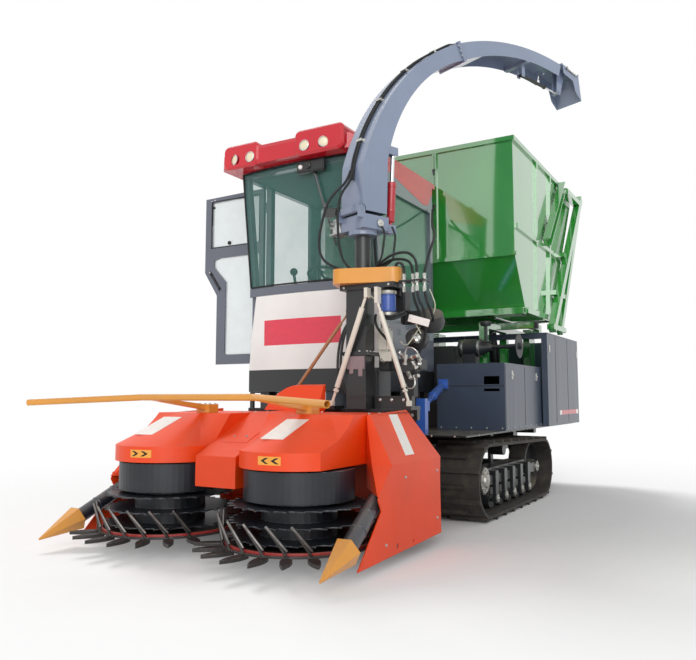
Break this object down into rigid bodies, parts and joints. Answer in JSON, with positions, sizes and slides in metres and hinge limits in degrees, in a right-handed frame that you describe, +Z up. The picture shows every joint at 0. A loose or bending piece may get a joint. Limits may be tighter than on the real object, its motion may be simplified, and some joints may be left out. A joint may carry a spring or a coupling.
{
  "type": "crawler forage harvester",
  "caption": "Self-propelled forage harvester on rubber crawler tracks with a twin-rotor cutter header, swivelling discharge spout, cab and tipping crop bin.",
  "frame": {"origin": "on the ground on the machine's centre plane, near the middle of the tracks' ground contact", "axes": "+Z up, -Y the way the machine drives, +X to the machine's left"},
  "size_m": [3.47, 6.2623, 4.414],
  "materials": {
    "track_rubber": "moulded rubber",
    "chassis_black": "semi-gloss black paint",
    "cast_dark": "painted casting",
    "housing_blue_grey": "dark blue-grey paint",
    "spout_grey": "grey-blue paint",
    "header_orange": "orange-red powder coat",
    "bar_yellow": "yellow-orange paint",
    "drum_black": "black paint",
    "roof_red": "glossy red moulding",
    "cab_white": "white paint",
    "cab_grey": "grey paint",
    "tinted_glass": "green tinted glass",
    "bin_green": "green paint",
    "stay_cream": "cream paint",
    "lift_red": "red paint",
    "chrome_rod": "hard chrome",
    "cardan_blue": "blue paint",
    "seat_fabric": "dark woven fabric"
  },
  "bodies": {
    "chassis": {"track_left": "track_rubber", "track_right": "track_rubber", "drive_sprockets": "cast_dark", "idler_wheels": "cast_dark", "track_frames": "chassis_black", "chassis_frame": "chassis_black", "deck": "chassis_black", "tow_hitch": "chassis_black", "crop_housing": "chassis_black", "mast": "chassis_black", "ring_guard": "bar_yellow", "valve_block": "cast_dark", "mast_stays": "stay_cream", "cab_base": "chassis_black", "cab_front_panel": "cab_white", "cab_frame": "cab_grey", "windscreen": "tinted_glass", "cab_glass": "tinted_glass", "cab_roof": "roof_red", "operator_seat": "seat_fabric", "control_console": "cab_grey", "cab_ladder": "chassis_black", "engine": "cast_dark", "left_side_box": "housing_blue_grey", "fuel_tank": "housing_blue_grey", "rear_housing": "housing_blue_grey", "muffler": "chassis_black", "bin_support": "chassis_black", "cardan_shaft": "cardan_blue"},
    "header": {"header_frame": "header_orange", "header_floor": "drum_black", "floor_rings": "header_orange", "drum_covers": "header_orange", "centre_nose": "header_orange", "side_panels": "header_orange", "divider_tubes": "drum_black", "divider_tips": "bar_yellow", "push_bar": "bar_yellow", "header_hood": "header_orange"},
    "rotor_left": {"rotor_left": "drum_black"},
    "rotor_right": {"rotor_right": "drum_black"},
    "header_lift_barrels": {"header_lift_barrels": "chassis_black"},
    "header_lift_rods": {"header_lift_rods": "chrome_rod"},
    "turret": {"spout_turret": "spout_grey"},
    "spout": {"spout_lower": "spout_grey", "spout_upper": "spout_grey"},
    "flap": {"spout_flap": "spout_grey"},
    "spout_lift_barrel": {"spout_lift_barrel": "lift_red"},
    "spout_lift_rod": {"spout_lift_rod": "chrome_rod"},
    "flap_cylinder_barrel": {"flap_cylinder_barrel": "chassis_black"},
    "flap_cylinder_rod": {"flap_cylinder_rod": "chrome_rod"},
    "cab_door": {"cab_door": "cab_grey", "door_glass": "tinted_glass"},
    "bin": {"bin_body": "bin_green", "bin_base": "bin_green", "bin_side_frames": "bin_green"},
    "bin_tip_barrels": {"bin_tip_barrels": "chassis_black"},
    "bin_tip_rods": {"bin_tip_rods": "chrome_rod"}
  },
  "joints": [
    {"name": "header_lift", "type": "hinge", "parent": "chassis", "child": "header", "pos_m": [0, -1.74, 0.86], "axis": [-1, 0, 0], "range_deg": [0, 12]},
    {"name": "rotor_left_spin", "type": "hinge", "parent": "header", "child": "rotor_left", "pos_m": [0.545, -2.78, 0.38], "axis": [0, 0, 1], "continuous": true},
    {"name": "rotor_right_spin", "type": "hinge", "parent": "header", "child": "rotor_right", "pos_m": [-0.545, -2.78, 0.38], "axis": [0, 0, 1], "continuous": true},
    {"name": "header_lift_barrel_hinge", "type": "hinge", "parent": "chassis", "child": "header_lift_barrels", "pos_m": [0, -1.14, 0.47], "axis": [-1, 0, 0], "range_deg": [-1, 4.18]},
    {"name": "header_lift_rod_slide", "type": "slide", "parent": "header_lift_barrels", "child": "header_lift_rods", "axis": [0, -0.9741, -0.226], "range_m": [-0.002, 0.1092]},
    {"name": "spout_slew", "type": "hinge", "parent": "chassis", "child": "turret", "pos_m": [0.408, -1.7, 2.3], "axis": [0, 0, 1], "range_deg": [-95, 0]},
    {"name": "spout_lift", "type": "hinge", "parent": "turret", "child": "spout", "pos_m": [0.36305, -1.81126, 2.47], "axis": [0.9272, -0.3746, 0], "range_deg": [0, 10]},
    {"name": "spout_lift_barrel_hinge", "type": "hinge", "parent": "turret", "child": "spout_lift_barrel", "pos_m": [0.57564, -1.55202, 2.345], "axis": [0.9272, -0.3746, 0], "range_deg": [-1, 9.07]},
    {"name": "spout_lift_rod_slide", "type": "slide", "parent": "spout_lift_barrel", "child": "spout_lift_rod", "axis": [0.0183, 0.0452, 0.9988], "range_m": [-0.002, 0.0593]},
    {"name": "spout_flap_hinge", "type": "hinge", "parent": "spout", "child": "flap", "pos_m": [1.34452, 0.61796, 4.4], "axis": [0.9272, -0.3746, 0], "range_deg": [-30, 15]},
    {"name": "flap_barrel_hinge", "type": "hinge", "parent": "spout", "child": "flap_cylinder_barrel", "pos_m": [1.18859, 0.09855, 4.165], "axis": [0.9272, -0.3746, 0], "range_deg": [-1.23, 1.45]},
    {"name": "flap_rod_slide", "type": "slide", "parent": "flap_cylinder_barrel", "child": "flap_cylinder_rod", "axis": [0.3739, 0.9254, -0.0624], "range_m": [-0.1411, 0.072]},
    {"name": "cab_door_hinge", "type": "hinge", "parent": "chassis", "child": "cab_door", "pos_m": [-1.1, -0.95, 2.2], "axis": [0, 0, 1], "range_deg": [-90, 0]},
    {"name": "bin_tip", "type": "hinge", "parent": "chassis", "child": "bin", "pos_m": [0, 2.3, 1.8], "axis": [-1, 0, 0], "range_deg": [0, 50]},
    {"name": "bin_barrel_hinge", "type": "hinge", "parent": "chassis", "child": "bin_tip_barrels", "pos_m": [0, 1.5, 0.8], "axis": [-1, 0, 0], "range_deg": [-1, 22.12]},
    {"name": "bin_rod_slide", "type": "slide", "parent": "bin_tip_barrels", "child": "bin_tip_rods", "axis": [0, -0.3318, 0.9433], "range_m": [-0.002, 0.8298]}
  ],
  "couplings": [
    {"joint": "rotor_right_spin", "follows": "rotor_left_spin", "ratio": -1},
    {"joint": "header_lift_barrel_hinge", "follows": "header_lift", "ratio": 0.26527},
    {"joint": "header_lift_rod_slide", "follows": "header_lift", "m_per_rad": 0.50209},
    {"joint": "spout_lift_barrel_hinge", "follows": "spout_lift", "ratio": 0.80725},
    {"joint": "spout_lift_rod_slide", "follows": "spout_lift", "m_per_rad": 0.31686},
    {"joint": "flap_barrel_hinge", "follows": "spout_flap_hinge", "ratio": -0.01511},
    {"joint": "flap_rod_slide", "follows": "spout_flap_hinge", "m_per_rad": 0.26372},
    {"joint": "bin_barrel_hinge", "follows": "bin_tip", "ratio": 0.42235},
    {"joint": "bin_rod_slide", "follows": "bin_tip", "m_per_rad": 0.94405}
  ]
}
